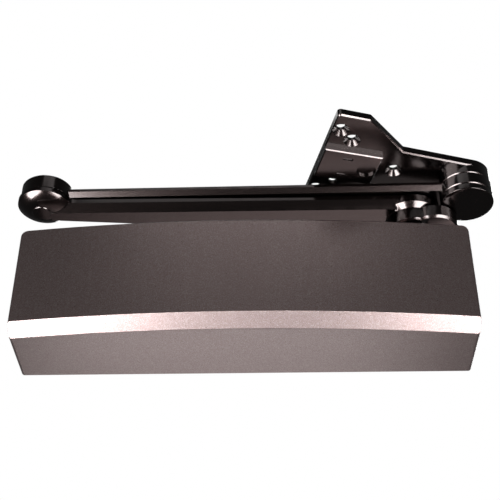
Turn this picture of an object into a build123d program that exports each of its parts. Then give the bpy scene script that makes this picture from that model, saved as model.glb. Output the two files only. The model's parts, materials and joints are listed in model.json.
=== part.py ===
from build123d import *
import math
import os

# A surface-mounted door closer for a parallel-arm mounting: a hydraulic rack-and-pinion
# casting under a bowed cover, two folded arms above it, and a flat shoe for the soffit.
# Millimetres. The origin is at the centre of the four casting holes, on the door's face.
# +X runs along the closer, +Z is up and -Y faces the room. Rest is the closed door.

# ---------------------------------------------------------------- driving dimensions
cover_length = 327.0
cover_height = 88.0
cover_depth_ends = 59.4        # door face to the front, at the two ends
cover_bow = 10.15              # how far the middle of the front stands beyond the ends
cover_wall = 2.0
slope_height = 8.1             # height of the sloping band at the foot of the front
slope_depth = 9.8              # how far that band leans back

hole_pitch_x = 304.8           # the casting's four mounting holes
hole_pitch_z = 19.05
hole_radius = 3.4

bore_y = -36.0                 # the cylinder's axis
bore_radius = 17.0
barrel_radius = 22.0
barrel_left = -140.0
barrel_right = 146.5
bore_end = 143.2
boss_radius = 18.0
boss_half_height = 38.0
foot_depth = 9.0

pinion_x = 126.0
pinion_y = bore_y
gear_module = 1.0
gear_teeth = 12
pressure_angle = math.radians(25.0)
gear_backlash = 0.15
gear_half_height = 17.2
journal_radius = 8.0
arm_swing = math.radians(140.0)
running_gap = 0.05             # radial clearance of every turning or sliding fit

elbow = (-152.7, -51.5)
shoe_pivot = (166.0, -54.5)
shoe_turn = 14.5               # degrees about the shoe's pivot at rest
head_radius = 19.5             # the round heads at the shoe's pivot
elbow_radius = 19.6            # the main arm's round head at the elbow
elbow_shift = 1.4              # how far that head is off the pivot, towards the bar
ring_radius = 19.2             # the forearm's round head above it
ring_shift = 2.5
hub_radius = 22.0
tail_radius = 18.5             # the hub's lower part runs on to the right, under the stud
tail_reach = 15.5
tail_top = 65.4
main_arm_bottom = 66.0
main_arm_top = 75.6
hub_bottom = 54.0
forearm_bottom = 76.8
forearm_top = 82.4
forearm_half_width = 8.0
ring_bottom = 76.4
ring_top = 89.0
shoe_bottom = 89.0
shoe_top = 95.0
rivet_radius = 6.0
stud_radius = 7.0

gear_radius = gear_module * gear_teeth / 2
piston_travel = gear_radius * arm_swing
piston_radius = bore_radius - running_gap
head_left = 101.0              # the piston's head, between the springs and the pinion
head_right = pinion_x - gear_radius - gear_module - 1.0
rack_end = pinion_x + piston_travel + 2.0

plug_inner = -128.0            # the end plug's inner face
seat_face = -118.0             # where the springs bear on their seat
adjuster_radius = 4.0
valve_pad_y = -59.6
valve_places = {"sweep": 40.0, "latch": 60.0, "backcheck": 80.0}

os.makedirs("parts", exist_ok=True)


def save(shape, name):
    export_step(shape, f"parts/{name}.step")


def post(x, y, bottom, top, radius):
    """An upright cylinder between two heights."""
    return Pos(x, y, (bottom + top) / 2) * Cylinder(radius, top - bottom)


def rod(left, right, radius, y=bore_y, z=0.0):
    """A cylinder that lies along X."""
    return Pos((left + right) / 2, y, z) * Rot(0, 90, 0) * Cylinder(radius, right - left)


def block(x0, x1, y0, y1, z0, z1):
    """A box between two corners."""
    centre = Pos((x0 + x1) / 2, (y0 + y1) / 2, (z0 + z1) / 2)
    return centre * Box(x1 - x0, y1 - y0, z1 - z0)


def prism(points, bottom, top):
    """A plan outline of straight edges, raised between two heights."""
    face = make_face(Polyline(*[(x, y, bottom) for x, y in points], close=True))
    return extrude(face, top - bottom, dir=(0, 0, 1))


def turned(profile, x, y):
    """A solid of revolution about an upright axis, from (radius, height) points."""
    outline = make_face(Polyline(*[(r, 0, z) for r, z in profile], close=True))
    return Pos(x, y, 0) * revolve(outline, Axis.Z)


# ---------------------------------------------------------------- cover
def plan(half_length, front_ends, z, back=0.0):
    """The cover's plan: a bowed front, square ends and a straight back."""
    left = (-half_length, front_ends, z)
    right = (half_length, front_ends, z)
    front = ThreePointArc(left, (0, front_ends - cover_bow, z), right)
    rest = Polyline(right, (half_length, back, z), (-half_length, back, z), left)
    return make_face([front, rest])


def bowed_block(inset, back):
    """The cover's outer form, or its inside when inset is the wall."""
    half = cover_length / 2 - inset
    foot = -cover_height / 2
    crease = foot + slope_height
    lean = inset * 0.45        # keeps the sloping wall as thick as the others
    front = -cover_depth_ends + inset
    top = cover_height / 2 - inset
    body = extrude(plan(half, front, crease + lean, back), top - crease - lean, dir=(0, 0, 1))
    low = plan(half, front + slope_depth - inset * 0.55, foot + inset, back)
    skirt = loft([low, plan(half, front, crease + lean, back)], ruled=True)
    return body + skirt


def corner_edges(shape, z, half):
    """The two edges that run from front to back at a given height."""
    return [e for e in shape.edges().filter_by(Axis.Y)
            if abs(e.center().Z - z) < 0.5 and abs(abs(e.center().X) - half) < 0.5]


outer = bowed_block(0.0, 0.0)
half_cover = cover_length / 2
outer = fillet(corner_edges(outer, cover_height / 2, half_cover), 5.0)
outer = fillet(corner_edges(outer, -cover_height / 2, half_cover), 2.5)
uprights = [e for e in outer.edges().filter_by(Axis.Z)
            if abs(e.center().Y + cover_depth_ends) < 0.5]
outer = fillet(uprights, 2.0)
cover = outer - bowed_block(cover_wall, 1.0)
notch_radius = 13.0
notch = post(pinion_x, pinion_y, 40, 46, notch_radius)
notch += block(pinion_x - notch_radius, pinion_x + notch_radius, pinion_y, 1, 40, 46)
cover -= notch
dimple_radius = 2.2
for side in (-1, 1):
    cover -= Pos(side * half_cover, -38, 0) * Rot(0, 90, 0) * Cylinder(dimple_radius, 10)
save(cover, "cover_shell")


# ---------------------------------------------------------------- casting
casting = rod(barrel_left, barrel_right, barrel_radius)
casting += block(barrel_left, barrel_right, bore_y, 0, -15, 15)
casting += block(-160, 160, -foot_depth, 0, -19, 19)
casting += post(pinion_x, pinion_y, -boss_half_height, boss_half_height, boss_radius)
casting += block(pinion_x - 12, pinion_x + 12, pinion_y, 0, -30, 30)
casting += block(28, 92, valve_pad_y, bore_y, -8, 8)
casting += block(-100, -84, bore_y, 0, -24, 24)
casting -= rod(barrel_left - 1, bore_end, bore_radius)
bearing_radius = 12.0
bearing_inner = 17.4
bearing_outer = 28.0
cap_seat = 32.0
cap_radius = 14.0
casting -= post(pinion_x, pinion_y, -cap_seat, cap_seat, bearing_radius)
for side in (-1, 1):
    low, high = sorted((side * cap_seat, side * (boss_half_height + 1)))
    casting -= post(pinion_x, pinion_y, low, high, cap_radius)
    for row in (-1, 1):
        hole = Pos(side * hole_pitch_x / 2, -foot_depth / 2, row * hole_pitch_z / 2)
        casting -= hole * Rot(90, 0, 0) * Cylinder(hole_radius, foot_depth + 2)
    tapped = Pos(side * hole_pitch_x / 2, -foot_depth / 2 - 1.5, 0)
    casting -= tapped * Rot(90, 0, 0) * Cylinder(1.5, foot_depth)
valve_shank = 3.0
valve_depth = 4.2
for x in valve_places.values():
    pocket = Pos(x, valve_pad_y + valve_depth / 2 - 1, 0)
    casting -= pocket * Rot(90, 0, 0) * Cylinder(valve_shank + running_gap, valve_depth + 2)
save(casting, "closer_casting")

# The sprung clips hold the cover: a foot on the casting's lug and an upright with a dimple.
clips, clip_screws = [], []
clip_out = half_cover - cover_wall - 0.3
for side in (-1, 1):
    lug_x = side * hole_pitch_x / 2
    x0, x1 = sorted((lug_x - side * 4, side * clip_out))
    clip = block(x0, x1, -foot_depth - 1.2, -foot_depth, -3.4, 3.4)
    x0, x1 = sorted((side * (clip_out - 1.2), side * clip_out))
    clip += block(x0, x1, -46, -foot_depth, -3.4, 3.4)
    dimple = Pos(side * clip_out, -38, 0) * Rot(0, 90, 0)
    clip += dimple * Cylinder(dimple_radius - 0.3, 2.0)
    clip -= Pos(lug_x, -foot_depth, 0) * Rot(90, 0, 0) * Cylinder(1.6, 6)
    clips.append(clip)
    shank = Pos(lug_x, -foot_depth + 1.4, 0) * Rot(90, 0, 0) * Cylinder(1.48, 5.2)
    head = Pos(lug_x, -foot_depth - 2.2, 0) * Rot(90, 0, 0) * Cylinder(2.9, 2.0)
    slot = block(lug_x - 2.2, lug_x + 2.2, -foot_depth - 4, -foot_depth - 2.2, -0.4, 0.4)
    clip_screws.append(shank + head - slot)
save(Compound(clips), "cover_clips")
save(Compound(clip_screws), "clip_screws")

# ---------------------------------------------------------------- left end of the cylinder
plug = rod(barrel_left - 2.0, plug_inner, bore_radius - 0.02)
plug -= rod(barrel_left - 3, plug_inner + 1, adjuster_radius + running_gap)
groove_x = plug_inner - 3.5
plug -= rod(groove_x - 1.1, groove_x + 1.1, bore_radius + 1) - rod(-150, -120, bore_radius - 2.0)
for angle in (0, 90, 180, 270):
    spanner_hole = Pos(barrel_left - 2, bore_y, 0) * Rot(angle, 0, 0) * Pos(0, 11.5, 0)
    plug -= spanner_hole * Rot(0, 90, 0) * Cylinder(1.8, 6)
save(plug, "end_plug")
ring_minor = 0.9
plug_ring = Torus(bore_radius - 2.0 + ring_minor + 0.08, ring_minor)
save(Pos(groove_x, bore_y, 0) * Rot(0, 90, 0) * plug_ring, "end_plug_o_ring")

adjuster = rod(barrel_left - 4.0, seat_face + 20, adjuster_radius)
adjuster += rod(plug_inner + 0.2, plug_inner + 3.0, 7.0)
socket = Pos(barrel_left - 4.0, bore_y, 0) * Rot(0, 90, 0) * extrude(
    RegularPolygon(2.4, 6), 4, both=True)
save(adjuster - socket, "power_adjusting_screw")

seat = rod(seat_face - 3.0, seat_face, bore_radius - 0.4) + rod(seat_face - 0.1, seat_face + 6, 6.2)
seat -= rod(seat_face - 5, seat_face + 8, adjuster_radius + running_gap)
save(seat, "spring_seat")


def spring(mean_radius, wire_radius, turns):
    """A compression spring between its seat and the piston's head."""
    start = seat_face + wire_radius + 0.2
    length = head_left - wire_radius - 0.2 - start
    path = Helix(length / turns, length, mean_radius)
    section = Plane(path @ 0, z_dir=path % 0) * Circle(wire_radius)
    return Pos(start, bore_y, 0) * Rot(0, 90, 0) * sweep(section, path)


save(spring(13.2, 2.1, 20), "outer_spring")
save(spring(8.4, 1.3, 27), "inner_spring")

# ---------------------------------------------------------------- piston
piston = rod(head_left, rack_end, piston_radius)
root_line = bore_y + gear_radius + 1.25 * gear_module
piston -= block(head_right, rack_end + 1, bore_y - gear_radius - 2.2, root_line, -20, 20)
tooth_pitch = math.pi * gear_module
half_at_pitch = (tooth_pitch / 2 - gear_backlash / 2) / 2
tip_line = bore_y + gear_radius - gear_module
rise = math.tan(pressure_angle)
half_root = half_at_pitch + 1.25 * gear_module * rise
half_tip = half_at_pitch - gear_module * rise
first = math.ceil((head_right + 1 - pinion_x) / tooth_pitch - 0.5)
last = math.floor((rack_end - 1 - pinion_x) / tooth_pitch - 0.5)
bore_slice = rod(head_left, rack_end, piston_radius)
for step in range(first, last + 1):
    x = pinion_x + (step + 0.5) * tooth_pitch
    tooth = prism([(x - half_root, root_line + 0.2), (x - half_root, root_line),
                   (x - half_tip, tip_line), (x + half_tip, tip_line),
                   (x + half_root, root_line), (x + half_root, root_line + 0.2)], -18, 18)
    piston += tooth & bore_slice
seal_x = head_left + 5.0
piston -= rod(seal_x - 1.6, seal_x + 1.6, 20) - rod(seal_x - 2, seal_x + 2, 14.5)
piston -= rod(head_left - 1, head_right + 1, 1.6)
piston -= rod(head_left + 6, head_right + 1, 3.2)
save(piston, "rack_piston")
seal = rod(seal_x - 1.5, seal_x + 1.5, piston_radius) - rod(seal_x - 2, seal_x + 2, 14.5)
save(seal, "piston_seal")
ball_x = head_left + 9.4
save(Pos(ball_x, bore_y, 0) * Sphere(2.8), "check_ball")
retainer = rod(ball_x + 3.2, head_right, 3.2) - rod(ball_x, head_right + 1, 1.5)
save(retainer, "check_ball_retainer")


# ---------------------------------------------------------------- pinion and its bearings
def involute(radius):
    """The involute function of the pressure angle at a radius."""
    angle = math.acos(min(1.0, base_radius / radius))
    return math.tan(angle) - angle


base_radius = gear_radius * math.cos(pressure_angle)
tip_radius = gear_radius + gear_module
root_radius = gear_radius - 1.25 * gear_module
half_tooth = (tooth_pitch / 2 - gear_backlash / 2) / 2 / gear_radius
flank_steps = 5
flank = [(root_radius, half_tooth + involute(gear_radius))]
for step in range(flank_steps + 1):
    radius = base_radius + (tip_radius - base_radius) * step / flank_steps
    flank.append((radius, half_tooth + involute(gear_radius) - involute(radius)))
outline = []
for tooth in range(gear_teeth):
    centre = math.radians(90) + tooth * 2 * math.pi / gear_teeth
    sides = [(r, centre - a) for r, a in flank] + [(r, centre + a) for r, a in reversed(flank)]
    outline += [(pinion_x + r * math.cos(t), pinion_y + r * math.sin(t)) for r, t in sides]
shaft_top = 69.5
shaft_bottom = -41.0
square_half = 5.5
screw_thread = 3.0
shaft = prism(outline, -gear_half_height, gear_half_height)
shaft += post(pinion_x, pinion_y, gear_half_height, hub_bottom - 2, journal_radius)
shaft += post(pinion_x, pinion_y, shaft_bottom, -gear_half_height, journal_radius)
shaft += block(pinion_x - square_half, pinion_x + square_half, pinion_y - square_half,
               pinion_y + square_half, hub_bottom - 2.1, shaft_top)
shaft -= post(pinion_x, pinion_y, shaft_top - 14, shaft_top + 1, screw_thread)
flats = block(pinion_x - 12, pinion_x + 12, pinion_y - 12, pinion_y + 12, -45, -36)
flats -= block(pinion_x - square_half, pinion_x + square_half, pinion_y - square_half,
               pinion_y + square_half, -46, -35)
save(shaft - flats, "pinion_shaft")

for side, word in ((1, "top"), (-1, "bottom")):
    def ring(near, far, outer_radius, inner_radius):
        low, high = sorted((side * near, side * far))
        tube = post(pinion_x, pinion_y, low, high, outer_radius)
        return tube - post(pinion_x, pinion_y, low - 1, high + 1, inner_radius)
    save(ring(bearing_inner, bearing_outer, bearing_radius - 0.01,
              journal_radius + running_gap), f"pinion_bearing_{word}")
    save(ring(bearing_outer + 0.2, cap_seat - 0.2, bearing_radius - 0.01,
              journal_radius + 0.1), f"pinion_seal_{word}")
    cap = ring(cap_seat, boss_half_height + 1.5, cap_radius - 0.02, journal_radius + 0.4)
    for angle in (0, 120, 240):
        spanner_hole = Pos(pinion_x, pinion_y, side * (boss_half_height + 1.5))
        cap -= spanner_hole * Rot(0, 0, angle) * Pos(11.2, 0, 0) * Cylinder(1.2, 5)
    save(cap, f"bearing_cap_{word}")

# ---------------------------------------------------------------- regulating valves
for name, x in valve_places.items():
    head_y = valve_pad_y - 0.8
    stem = Pos(x, (head_y + valve_pad_y + valve_depth) / 2 - 0.2, 0) * Rot(90, 0, 0)
    stem = stem * Cylinder(valve_shank, valve_depth + 0.4)
    groove = Pos(x, valve_pad_y + 1.6, 0) * Rot(90, 0, 0)
    stem -= groove * (Cylinder(4, 1.3) - Cylinder(2.0, 1.4))
    stem -= block(x - 2.2, x + 2.2, head_y - 1, head_y + 0.9, -0.4, 0.4)
    save(stem, f"{name}_valve")
    save(groove * Torus(2.0 + 0.45, 0.42), f"{name}_valve_o_ring")

# ---------------------------------------------------------------- main arm
strip_height = 3.3             # the upright part of the main arm's side
strip_bottom = main_arm_top - strip_height
dome_bottom = main_arm_bottom + 0.8
dome_flat = 8.2
dome_line = Polyline((dome_flat, 0, dome_bottom), (0, 0, dome_bottom),
                     (0, 0, main_arm_top), (elbow_radius, 0, main_arm_top),
                     (elbow_radius, 0, strip_bottom))
dome_curve = ThreePointArc((elbow_radius, 0, strip_bottom),
                           (elbow_radius - 4.4, 0, dome_bottom + 2.2),
                           (dome_flat, 0, dome_bottom))
arm_head = (elbow[0] + elbow_shift, elbow[1])
dome = Pos(arm_head[0], arm_head[1], 0) * revolve(make_face([dome_line, dome_curve]), Axis.Z)
near_edge = -55.6
far_edge = -38.4               # at the elbow; the bar widens to the hub
far_edge_at_hub = -16.0
flank_lean = 4.5               # how far the arm's lower flanks slope in


def flanked_bar(near_left, far_left, near_right, far_right, bottom, waist, top, lean):
    """A bar with upright sides above its waist and sides that slope in below it."""
    (x0, y0), (x1, y1), (x2, y2), (x3, y3) = near_left, near_right, far_right, far_left
    upper = prism([(x0, y0), (x1, y1), (x2, y2), (x3, y3)], waist, top)
    wide = make_face(Polyline((x0, y0, waist), (x1, y1, waist), (x2, y2, waist),
                              (x3, y3, waist), close=True))
    narrow = make_face(Polyline((x0, y0 + lean, bottom), (x1, y1 + lean, bottom),
                                (x2, y2 - lean, bottom), (x3, y3 - lean, bottom), close=True))
    return upper + loft([narrow, wide], ruled=True)


bar = flanked_bar((-146, near_edge), (-146, far_edge), (pinion_x, near_edge),
                  (pinion_x, far_edge_at_hub), main_arm_bottom, strip_bottom,
                  main_arm_top, flank_lean)
hub = turned([(0, hub_bottom), (tail_radius - 1.5, hub_bottom), (tail_radius, hub_bottom + 1.5),
              (tail_radius, main_arm_bottom - 1), (hub_radius, main_arm_bottom + 2.5),
              (hub_radius, main_arm_top - 1), (hub_radius - 1, main_arm_top),
              (0, main_arm_top)], pinion_x, pinion_y)
tail_profile = [(0, hub_bottom), (tail_radius - 1.5, hub_bottom), (tail_radius, hub_bottom + 1.5),
                (tail_radius, tail_top - 1), (tail_radius - 1, tail_top), (0, tail_top)]
tail = turned(tail_profile, pinion_x + tail_reach, pinion_y - 3)
tail += block(pinion_x, pinion_x + tail_reach, pinion_y - tail_radius, pinion_y + tail_radius - 3,
              hub_bottom + 1.5, tail_top - 1)
neck_radius = 8.0


def neck(edge_y, side):
    """The concave web between the elbow's head and one edge of the bar."""
    drop = edge_y + side * neck_radius - arm_head[1]
    reach = math.sqrt((elbow_radius + neck_radius) ** 2 - drop ** 2)
    centre = (arm_head[0] + reach, arm_head[1] + drop)
    share = elbow_radius / (elbow_radius + neck_radius)
    on_head = (arm_head[0] + reach * share, arm_head[1] + drop * share)
    on_bar = (centre[0], edge_y)
    middle = ((on_head[0] + on_bar[0]) / 2 - centre[0], (on_head[1] + on_bar[1]) / 2 - centre[1])
    scale = neck_radius / math.hypot(*middle)
    inner = (centre[0] + middle[0] * scale, centre[1] + middle[1] * scale)
    arc = ThreePointArc(on_head + (strip_bottom,), inner + (strip_bottom,),
                        on_bar + (strip_bottom,))
    corner = (arm_head[0] + 10, arm_head[1] + drop * 0.3, strip_bottom)
    sides = Polyline(on_bar + (strip_bottom,), corner, on_head + (strip_bottom,))
    return extrude(make_face([arc, sides]), main_arm_top - strip_bottom, dir=(0, 0, 1))


main_arm = dome + bar + hub + tail + neck(near_edge, -1) + neck(far_edge, 1)
recess_radius = 11.5
recess_floor = 70.0
main_arm -= post(pinion_x, pinion_y, recess_floor, 80, recess_radius)
eye = square_half + 0.02
main_arm -= block(pinion_x - eye, pinion_x + eye, pinion_y - eye, pinion_y + eye, 50, 80)
main_arm -= post(elbow[0], elbow[1], 60, 80, rivet_radius)
save(main_arm, "main_arm")

washer = post(pinion_x, pinion_y, recess_floor, recess_floor + 1.4, 10.0)
save(washer - post(pinion_x, pinion_y, 69, 73, screw_thread + 0.3), "arm_washer")
arm_screw = post(pinion_x, pinion_y, shaft_top - 12, recess_floor + 1.4, screw_thread - 0.02)
arm_screw += post(pinion_x, pinion_y, recess_floor + 1.4, main_arm_top - 0.2, 6.0)
hexagon = Pos(pinion_x, pinion_y, main_arm_top - 2.2) * extrude(RegularPolygon(3.0, 6), 4)
save(arm_screw - hexagon, "arm_screw")

rivet = post(elbow[0], elbow[1], main_arm_bottom + 0.1, ring_top + 0.1, rivet_radius)
rivet += turned([(0, main_arm_bottom), (6.6, main_arm_bottom),
                 (7.2, main_arm_bottom + 0.6), (7.2, dome_bottom), (0, dome_bottom)], *elbow)
rivet += turned([(0, ring_top + 0.1), (9, ring_top + 0.1), (9, ring_top + 0.8),
                 (7.6, ring_top + 2.0), (0, ring_top + 2.0)], *elbow)
save(rivet, "elbow_rivet")
spacer = post(elbow[0], elbow[1], main_arm_top, ring_bottom - 0.1, 16.4)
save(spacer - post(elbow[0], elbow[1], 70, 80, rivet_radius + 0.02), "elbow_washer")

# ---------------------------------------------------------------- forearm
bush_wall = 1.8
eye_bottom = 72.2
eye_head = turned([(0, eye_bottom), (head_radius - 0.5, eye_bottom),
                   (head_radius, eye_bottom + 0.5), (head_radius, forearm_top - 0.8),
                   (head_radius - 0.8, forearm_top), (0, forearm_top)], *shoe_pivot)
tilt = math.atan2(shoe_pivot[1] - elbow[1], shoe_pivot[0] - elbow[0])
forearm_length = math.dist(shoe_pivot, elbow)


def along(distance, offset):
    """A plan point at a distance from the elbow and an offset to the door's side."""
    c, s = math.cos(tilt), math.sin(tilt)
    return (elbow[0] + distance * c - offset * s, elbow[1] + distance * s + offset * c)


ring_head = turned([(0, ring_bottom), (ring_radius, ring_bottom),
                    (ring_radius, ring_top - 1.6), (ring_radius - 1.6, ring_top),
                    (0, ring_top)], *along(ring_shift, 0))
flare_start = forearm_length - 55
fore_bar = prism([along(10, -forearm_half_width), along(forearm_length - 5, -forearm_half_width),
                  along(forearm_length - 5, 18), along(forearm_length - 12, 17),
                  along(flare_start, forearm_half_width), along(10, forearm_half_width)],
                 forearm_bottom, forearm_top)
long_edges = [e for e in fore_bar.edges()
              if abs(e.center().Z - forearm_bottom) < 0.1 and e.length > 100]
fore_bar = chamfer(long_edges, 3.2)
forearm = ring_head + eye_head + fore_bar
forearm -= post(elbow[0], elbow[1], 70, 95, rivet_radius + bush_wall)
forearm -= post(shoe_pivot[0], shoe_pivot[1], 60, 90, stud_radius + bush_wall)
save(forearm, "forearm")
bush = post(elbow[0], elbow[1], ring_bottom, ring_top, rivet_radius + bush_wall - 0.01)
save(bush - post(elbow[0], elbow[1], 70, 95, rivet_radius + running_gap), "elbow_bush")
bush = post(shoe_pivot[0], shoe_pivot[1], eye_bottom, forearm_top, stud_radius + bush_wall - 0.01)
save(bush - post(shoe_pivot[0], shoe_pivot[1], 60, 95, stud_radius + running_gap), "shoe_bush")

# ---------------------------------------------------------------- shoe
# In its own frame the shoe's pivot is the origin and its screw end points along -X.
plate_ends = [(-113.5, 48.5), (-89, 47.8), (-55.5, 21.2)]
screw_holes = [(-107, 33.2), (-96, 24.4), (-55.9, 0), (-96, -24.4), (-107, -33.2)]
shoe_hole_radius = 3.2
sink_radius = 6.3
sink_depth = 3.4
shoe_head = 19.0
upper = plate_ends + [(0, shoe_head)]
lower = [(x, -y) for x, y in reversed(upper)]
plate = prism(upper + lower, shoe_bottom, shoe_top) + post(0, 0, shoe_bottom, shoe_top, shoe_head)
outline_corners = [e for e in plate.edges().filter_by(Axis.Z) if e.center().X < -60]
plate = fillet(outline_corners, 2.5)
step_edges = [e for e in plate.edges() if abs(e.center().Z - shoe_bottom) < 0.01]
plate = chamfer(step_edges, 0.9)
boss_bottom = forearm_top + 0.15
shoe = plate + turned([(0, boss_bottom), (shoe_head - 0.6, boss_bottom),
                       (shoe_head, boss_bottom + 0.6), (shoe_head, shoe_bottom + 1),
                       (0, shoe_bottom + 1)], 0, 0)
# A raised pad crosses the plate's screw end, with a round spot face and two short slots in it.
pad_bottom = shoe_bottom - 4.0
pad_half_width = 15.4
pad = prism(upper + lower, pad_bottom, shoe_bottom + 0.5)
pad &= block(-120, -69.5, -pad_half_width, pad_half_width, pad_bottom, shoe_bottom + 0.5)
pad = chamfer([e for e in pad.edges() if abs(e.center().Z - pad_bottom) < 0.01], 0.7)
pad -= post(-77.6, 0, pad_bottom - 1, pad_bottom + 1.6, 7.2)
for side in (-1, 1):
    pad -= block(-98, -90.4, side * 8.5 - 1.2, side * 8.5 + 1.2, pad_bottom - 1, pad_bottom + 1.6)
shoe += pad
for x, y in screw_holes:
    shoe -= post(x, y, shoe_bottom - 4, shoe_top + 1, shoe_hole_radius)
    sink = Cone(sink_radius, shoe_hole_radius, sink_depth)
    shoe -= Pos(x, y, shoe_bottom + sink_depth / 2) * sink
shoe -= post(0, 0, boss_bottom - 1, shoe_top + 1, stud_radius)
place_shoe = Pos(shoe_pivot[0], shoe_pivot[1], 0) * Rot(0, 0, shoe_turn)
save(place_shoe * shoe, "arm_shoe")

stud_head_top = eye_bottom - 0.15
stud = turned([(0, 66), (head_radius - 2.6, 66), (head_radius, 67.0),
               (head_radius, stud_head_top - 0.5), (head_radius - 0.5, stud_head_top),
               (0, stud_head_top)], *shoe_pivot)
stud += post(shoe_pivot[0], shoe_pivot[1], stud_head_top, shoe_top, stud_radius)
save(stud, "shoe_pivot_stud")
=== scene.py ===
import json
import math

import bmesh
import bpy
from mathutils import Matrix, Vector


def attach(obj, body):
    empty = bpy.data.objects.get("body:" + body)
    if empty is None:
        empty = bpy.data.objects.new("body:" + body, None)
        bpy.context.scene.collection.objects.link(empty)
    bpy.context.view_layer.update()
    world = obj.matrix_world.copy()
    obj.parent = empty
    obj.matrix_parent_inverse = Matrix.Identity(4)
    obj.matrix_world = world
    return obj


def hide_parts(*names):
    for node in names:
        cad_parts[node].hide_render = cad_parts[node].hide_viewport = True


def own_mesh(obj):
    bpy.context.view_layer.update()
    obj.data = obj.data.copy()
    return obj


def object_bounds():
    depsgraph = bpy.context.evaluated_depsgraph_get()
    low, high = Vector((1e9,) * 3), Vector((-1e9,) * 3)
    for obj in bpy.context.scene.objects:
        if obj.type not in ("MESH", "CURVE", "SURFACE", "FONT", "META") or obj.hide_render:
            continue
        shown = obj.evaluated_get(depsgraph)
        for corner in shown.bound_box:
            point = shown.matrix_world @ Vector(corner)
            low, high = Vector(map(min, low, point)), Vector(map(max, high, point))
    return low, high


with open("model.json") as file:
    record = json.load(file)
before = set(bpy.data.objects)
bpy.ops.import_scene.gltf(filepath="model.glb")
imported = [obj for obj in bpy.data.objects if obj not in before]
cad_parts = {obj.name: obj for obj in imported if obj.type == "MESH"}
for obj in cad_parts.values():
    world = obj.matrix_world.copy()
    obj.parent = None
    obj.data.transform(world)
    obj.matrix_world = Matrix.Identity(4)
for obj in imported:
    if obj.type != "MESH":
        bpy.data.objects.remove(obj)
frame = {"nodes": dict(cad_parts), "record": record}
cad_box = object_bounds()

# The looks of a surface-mounted door closer: a bowed cover in satin metallic bronze, glossy dark
# arms and a soffit shoe, with the machined parts of the works inside. Everything is in metres.
# The parts in EDGE_RADII are shown as welded copies of their own meshes with softly rounded edges,
# and the springs as plain welded copies. The other parts keep their CAD meshes.

MM = 0.001


# ---------------------------------------------------------------- node trees
class Tree:
    """A short way to write a material's nodes."""

    def __init__(self, name):
        self.material = bpy.data.materials.new(name)
        self.material.use_nodes = True
        self.nodes = self.material.node_tree.nodes
        self.links = self.material.node_tree.links
        self.shader = self.nodes["Principled BSDF"]
        self.where = self.nodes.new("ShaderNodeTexCoord").outputs["Object"]

    def feed(self, socket, value):
        """Link a socket to another node's output, or set it to a plain value."""
        if isinstance(value, bpy.types.NodeSocket):
            self.links.new(value, socket)
        else:
            socket.default_value = value

    def add(self, kind, inputs=None, **settings):
        node = self.nodes.new("ShaderNode" + kind)
        for key, value in settings.items():
            setattr(node, key, value)
        for key, value in (inputs or {}).items():
            self.feed(node.inputs[key], value)
        return node

    def noise(self, scale, detail=2.0, roughness=0.5, vector=None):
        inputs = {"Vector": vector or self.where, "Scale": scale, "Detail": detail,
                  "Roughness": roughness}
        return self.add("TexNoise", inputs).outputs["Fac"]

    def ramp(self, fac, *stops):
        """A colour ramp from (position, colour) stops; a number is a grey."""
        node = self.add("ValToRGB", {"Fac": fac})
        elements = node.color_ramp.elements
        while len(elements) < len(stops):
            elements.new(0.5)
        for element, (position, colour) in zip(elements, stops):
            element.position = position
            if isinstance(colour, (int, float)):
                colour = (colour, colour, colour)
            element.color = (*colour, 1.0)
        return node.outputs["Color"]

    def mix(self, fac, one, two):
        """One colour going over to the other as fac goes from 0 to 1."""
        node = self.add("Mix", data_type="RGBA", blend_type="MIX")
        self.feed(node.inputs[0], fac)
        for index, colour in ((6, one), (7, two)):
            self.feed(node.inputs[index], (*colour, 1.0) if isinstance(colour, tuple) else colour)
        return node.outputs[2]

    def clouded(self, fac, low, high, one, two):
        """One colour where fac is under low, the other where it is over high."""
        return self.mix(self.ramp(fac, (low, 0.0), (high, 1.0)), one, two)

    def multiply(self, one, two):
        return self.add("Math", {0: one, 1: two}, operation="MULTIPLY").outputs[0]

    def stretched(self, x, y, z):
        """The object's coordinates scaled by a different amount along each axis."""
        node = self.add("Mapping", {"Vector": self.where, "Scale": (x, y, z)})
        return node.outputs["Vector"]

    def bump(self, height, strength, distance, normal=None):
        inputs = {"Height": height, "Strength": strength, "Distance": distance}
        if normal is not None:
            inputs["Normal"] = normal
        return self.add("Bump", inputs).outputs["Normal"]

    def worn_edges(self, base, colour, low, high, amount):
        """The base with another colour on its outward edges, in patches from a fine noise."""
        convex = self.add("NewGeometry").outputs["Pointiness"]
        edge = self.ramp(convex, (low, 0.0), (high, 1.0))
        patches = self.ramp(self.noise(140.0, 4.0), (0.42, 0.0), (0.6, 1.0))
        return self.mix(self.multiply(self.multiply(edge, patches), amount), base, colour)

    def fleck_cells(self):
        """The cells of the aluminium fleck, which is equally fine in both paints."""
        return self.add("TexVoronoi", {"Vector": self.where, "Scale": 2600.0})

    def flecked(self, cells, middle, grey, amount, base, colour):
        """The base with some cells in another colour; few cells pass the ramp's middle stop."""
        fleck = self.ramp(cells.outputs["Color"], (0.0, 0.0), (middle, grey), (1.0, 1.0))
        return self.mix(self.multiply(fleck, amount), base, colour)

    def set(self, **values):
        """Set sockets on the shader, with spaces written as underscores."""
        for key, value in values.items():
            self.feed(self.shader.inputs[key.replace("_", " ")], value)
        return self.material


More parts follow.
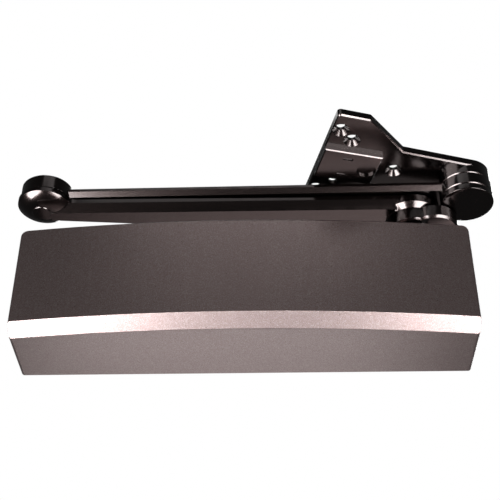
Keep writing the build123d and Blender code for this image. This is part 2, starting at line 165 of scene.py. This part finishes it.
def cover_paint():
    """Satin bronze powder coat with a fine aluminium fleck."""
    t = Tree("cover_paint")
    base = t.clouded(t.noise(9.0, 3.0), 0.35, 0.65, (0.262, 0.186, 0.180), (0.290, 0.208, 0.202))
    cells = t.fleck_cells()
    speckled = t.flecked(cells, 0.55, 0.10, 0.55, base, (0.66, 0.60, 0.59))
    worn = t.worn_edges(speckled, (0.34, 0.27, 0.26), 0.54, 0.62, 0.25)
    rough = t.ramp(t.noise(1300.0, 2.0, 0.7), (0.3, 0.27), (0.7, 0.33))
    peel = t.bump(t.noise(420.0, 2.0), 0.08, 0.0004)
    normal = t.bump(cells.outputs["Distance"], 0.22, 0.0002, peel)
    return t.set(Base_Color=worn, Metallic=0.98, Roughness=rough, Normal=normal,
                 Coat_Weight=1.0, Coat_Roughness=0.30)


def arm_paint():
    """Glossy dark bronze enamel on forged steel, a little thinner on the edges, with its base
    darkened past the enamel's own colour as painted shade.
    """
    t = Tree("arm_paint")
    # Painted shade: the near-black base is partly the enamel's own dark colour and partly painted
    # shade, kept this dark so flat faces lit by the key lights still come out black.
    base = t.clouded(t.noise(14.0, 3.0), 0.3, 0.7, (0.017, 0.010, 0.009), (0.022, 0.013, 0.012))
    speckled = t.flecked(t.fleck_cells(), 0.6, 0.05, 0.14, base, (0.10, 0.07, 0.066))
    worn = t.worn_edges(speckled, (0.20, 0.15, 0.145), 0.54, 0.62, 0.30)
    rough = t.ramp(t.noise(500.0, 3.0, 0.6), (0.3, 0.20), (0.7, 0.24))
    normal = t.bump(t.noise(260.0, 2.0), 0.04, 0.0004)
    return t.set(Base_Color=worn, Metallic=1.0, Roughness=rough, Normal=normal,
                 Coat_Weight=1.0, Coat_Roughness=0.15)


def cast_iron():
    """Grey machinery enamel over a sand-cast skin."""
    t = Tree("cast_iron")
    skin = t.noise(480.0, 6.0, 0.7)
    base = t.clouded(t.noise(25.0, 4.0), 0.35, 0.65, (0.085, 0.080, 0.078),
                     (0.125, 0.118, 0.114))
    worn = t.worn_edges(base, (0.30, 0.29, 0.28), 0.53, 0.60, 0.5)
    rough = t.ramp(skin, (0.3, 0.50), (0.7, 0.72))
    normal = t.bump(skin, 0.45, 0.0006)
    return t.set(Base_Color=worn, Metallic=0.35, Roughness=rough, Normal=normal)


def machined(name, colour, dark, low_rough, high_rough, metallic=1.0):
    """Turned or ground metal with fine tool marks across its length."""
    t = Tree(name)
    marks = t.noise(1.0, 3.0, 0.6, t.stretched(900.0, 900.0, 2600.0))
    base = t.clouded(t.noise(55.0, 4.0), 0.38, 0.66, colour, dark)
    bright = tuple(min(1.0, c * 1.5) for c in colour)
    worn = t.worn_edges(base, bright, 0.53, 0.62, 0.4)
    rough = t.ramp(marks, (0.3, low_rough), (0.7, high_rough))
    normal = t.bump(marks, 0.12, 0.0002)
    return t.set(Base_Color=worn, Metallic=metallic, Roughness=rough, Normal=normal)


def rubber():
    """Oiled nitrile rubber."""
    t = Tree("rubber")
    base = t.ramp(t.noise(70.0, 3.0), (0.3, 0.012), (0.7, 0.024))
    rough = t.ramp(t.noise(200.0, 3.0), (0.3, 0.45), (0.7, 0.62))
    normal = t.bump(t.noise(700.0, 3.0), 0.2, 0.0003)
    return t.set(Base_Color=base, Roughness=rough, Normal=normal)


MATERIALS = {
    "cover_paint": cover_paint(),
    "arm_paint": arm_paint(),
    "cast_iron": cast_iron(),
    "steel": machined("steel", (0.52, 0.52, 0.53), (0.38, 0.375, 0.37), 0.22, 0.38),
    "dark_steel": machined("dark_steel", (0.045, 0.042, 0.042), (0.028, 0.026, 0.026), 0.30,
                           0.46, 0.8),
    "spring_steel": machined("spring_steel", (0.24, 0.235, 0.25), (0.15, 0.145, 0.15), 0.28,
                             0.44),
    "bronze": machined("bronze", (0.56, 0.36, 0.17), (0.40, 0.25, 0.12), 0.26, 0.42),
    "rubber": rubber(),
}


# ---------------------------------------------------------------- pieces from the frame
EDGE_RADII = {                      # how soft each part's corners are, in millimetres
    "cover_shell": 0.7, "main_arm": 0.55, "forearm": 0.5, "arm_shoe": 0.35,
    "shoe_pivot_stud": 0.3, "elbow_rivet": 0.25, "closer_casting": 0.8, "end_plug": 0.3,
    "rack_piston": 0.12, "pinion_shaft": 0.12, "bearing_cap_top": 0.3,
    "bearing_cap_bottom": 0.3, "spring_seat": 0.3, "power_adjusting_screw": 0.25,
    "cover_clips": 0.15, "clip_screws": 0.12, "arm_screw": 0.3, "arm_washer": 0.15,
}
SPRINGS = ("outer_spring", "inner_spring")
WELD_DISTANCE = 1e-6
FLAT_ANGLE = math.radians(0.6)      # faces that meet at less are one flat face
SHARP_ANGLE = math.radians(32)      # edges that turn by more are rounded


def body_of_node(node):
    for body, nodes in frame["record"]["behaviour"]["bodies"].items():
        if node in nodes:
            return body
    raise KeyError(node)


def slot_of_node(node):
    for entry in frame["record"]["subparts"]:
        if entry["node"] == node:
            return entry["material_slot"]
    raise KeyError(node)


def welded_copy(node):
    """The node's mesh with its triangles joined into whole faces, as a new object."""
    mesh = frame["nodes"][node].data.copy()
    mesh.materials.clear()
    work = bmesh.new()
    work.from_mesh(mesh)
    bmesh.ops.remove_doubles(work, verts=work.verts, dist=WELD_DISTANCE)
    bmesh.ops.dissolve_limit(work, angle_limit=FLAT_ANGLE, verts=work.verts, edges=work.edges)
    work.to_mesh(mesh)
    work.free()
    piece = bpy.data.objects.new(node + "_finished", mesh)
    bpy.context.collection.objects.link(piece)
    return piece


def finish_piece(piece, radius):
    """Round the sharp edges and shade the rest smooth, as part of the mesh itself."""
    for polygon in piece.data.polygons:
        polygon.use_smooth = True
    bevel = piece.modifiers.new("edges", "BEVEL")
    bevel.width = radius * MM
    bevel.segments = 3
    bevel.limit_method = "ANGLE"
    bevel.angle_limit = SHARP_ANGLE
    bevel.use_clamp_overlap = True
    weighted = piece.modifiers.new("normals", "WEIGHTED_NORMAL")
    weighted.keep_sharp = False
    shown = piece.evaluated_get(bpy.context.evaluated_depsgraph_get())
    mesh = bpy.data.meshes.new_from_object(shown)
    piece.modifiers.clear()
    piece.data = mesh


def shorten_with_piston(spring):
    """Give the spring a mesh of its own; its length is left as it is."""
    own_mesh(spring)


for node in frame["nodes"]:
    slot = slot_of_node(node)
    if node in EDGE_RADII or node in SPRINGS:
        piece = welded_copy(node)
        if node in EDGE_RADII:
            finish_piece(piece, EDGE_RADII[node])
        piece.data.materials.append(MATERIALS[slot])
        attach(piece, body_of_node(node))
        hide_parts(node)
        if node in SPRINGS:
            shorten_with_piston(piece)
    else:
        for material_slot in frame["nodes"][node].material_slots:
            material_slot.material = MATERIALS[slot]


# ---------------------------------------------------------------- studio
KEY_SIZE = (1.2, 0.6)
KEY_WATTS = {"left": 78, "right": 71}
COVER_SHARE = 0.35                  # of each key light, shining on the cover alone
FLOOR_HEIGHT = -1.25
FLOOR_REACH = 4


def look_at(thing, point):
    thing.rotation_euler = (Vector(point) - thing.location).to_track_quat("-Z", "Y").to_euler()


def soft_light(name, place, aim, size, power):
    data = bpy.data.lights.new(name, "AREA")
    data.shape = "RECTANGLE"
    data.size, data.size_y = size
    data.energy = power
    light = bpy.data.objects.new(name, data)
    light.location = place
    bpy.context.collection.objects.link(light)
    look_at(light, aim)
    return light


def shine_on_cover_only(light):
    takers = bpy.data.collections.new(light.name + "_takers")
    takers.objects.link(bpy.data.objects["cover_shell_finished"])
    light.light_linking.receiver_collection = takers


middle = (cad_box[0] + cad_box[1]) / 2
for word, side in (("left", -1), ("right", 1)):
    place = (side * 0.88, -0.62, -1.05)
    aim = (side * 0.08, -0.03, 0.0)
    power = KEY_WATTS[word]
    shine_on_cover_only(soft_light("cover_key_" + word, place, aim, KEY_SIZE,
                                   power * COVER_SHARE))
    soft_light("key_" + word, place, aim, KEY_SIZE, power * (1 - COVER_SHARE))
soft_light("front_top", (0.0, -0.62, 0.62), (0.0, -0.06, 0.03), (0.52, 0.14), 0.24)
shine_on_cover_only(soft_light("under_back", (-0.06, 0.78, -0.66), (0.0, -0.03, -0.04),
                               (0.6, 0.18), 0.66))
soft_light("back_fill", (0.3, 1.5, 1.0), middle, (1.4, 1.0), 16)
soft_light("overhead", (-0.1, 0.45, 1.3), middle, (1.5, 0.9), 5)

floor_corners = [(x * FLOOR_REACH, y * FLOOR_REACH, FLOOR_HEIGHT)
                 for x, y in ((-1, -1), (1, -1), (1, 1), (-1, 1))]
floor_mesh = bpy.data.meshes.new("floor")
floor_mesh.from_pydata(floor_corners, [], [(0, 1, 2, 3)])
floor = bpy.data.objects.new("floor", floor_mesh)
bpy.context.collection.objects.link(floor)
floor_tree = Tree("floor_paper")
floor_tone = floor_tree.ramp(floor_tree.noise(3.0), (0.3, 0.80), (0.7, 0.84))
floor_mesh.materials.append(floor_tree.set(Base_Color=floor_tone, Roughness=0.9,
                                           Emission_Color=floor_tone, Emission_Strength=0.75))
floor.visible_glossy = False
floor.visible_diffuse = False

# The sky is white behind the object, softer on matt surfaces and dim in reflections.
world = bpy.data.worlds.new("studio")
bpy.context.scene.world = world
world.use_nodes = True
sky = world.node_tree
sky.nodes.clear()
rays = sky.nodes.new("ShaderNodeLightPath")


def white_light(strength):
    background = sky.nodes.new("ShaderNodeBackground")
    background.inputs["Color"].default_value = (1, 1, 1, 1)
    background.inputs["Strength"].default_value = strength
    return background.outputs[0]


def by_ray(kind, light, other_light):
    """One light for one kind of ray, and the other for all the rest."""
    choice = sky.nodes.new("ShaderNodeMixShader")
    sky.links.new(rays.outputs[kind], choice.inputs["Fac"])
    sky.links.new(other_light, choice.inputs[1])
    sky.links.new(light, choice.inputs[2])
    return choice.outputs[0]


not_seen = by_ray("Is Diffuse Ray", white_light(0.7), white_light(0.05))
all_rays = by_ray("Is Camera Ray", white_light(1.0), not_seen)
sky_output = sky.nodes.new("ShaderNodeOutputWorld")
sky.links.new(all_rays, sky_output.inputs["Surface"])

# ---------------------------------------------------------------- camera
camera_data = bpy.data.cameras.new("camera")
camera_data.sensor_width = 36.0
camera_data.lens = 80.1
camera = bpy.data.objects.new("camera", camera_data)
camera.location = (0.02015, -0.70071, -0.45723)
turn = Matrix.Rotation(math.radians(1.403), 3, "Z")
upward = Matrix.Rotation(math.radians(90 + 36.841), 3, "X")
roll = Matrix.Rotation(math.radians(0.151), 3, "Z")
camera.rotation_euler = (turn @ upward @ roll).to_euler()
bpy.context.collection.objects.link(camera)
bpy.context.scene.camera = camera
bpy.context.scene.view_settings.view_transform = "Standard"
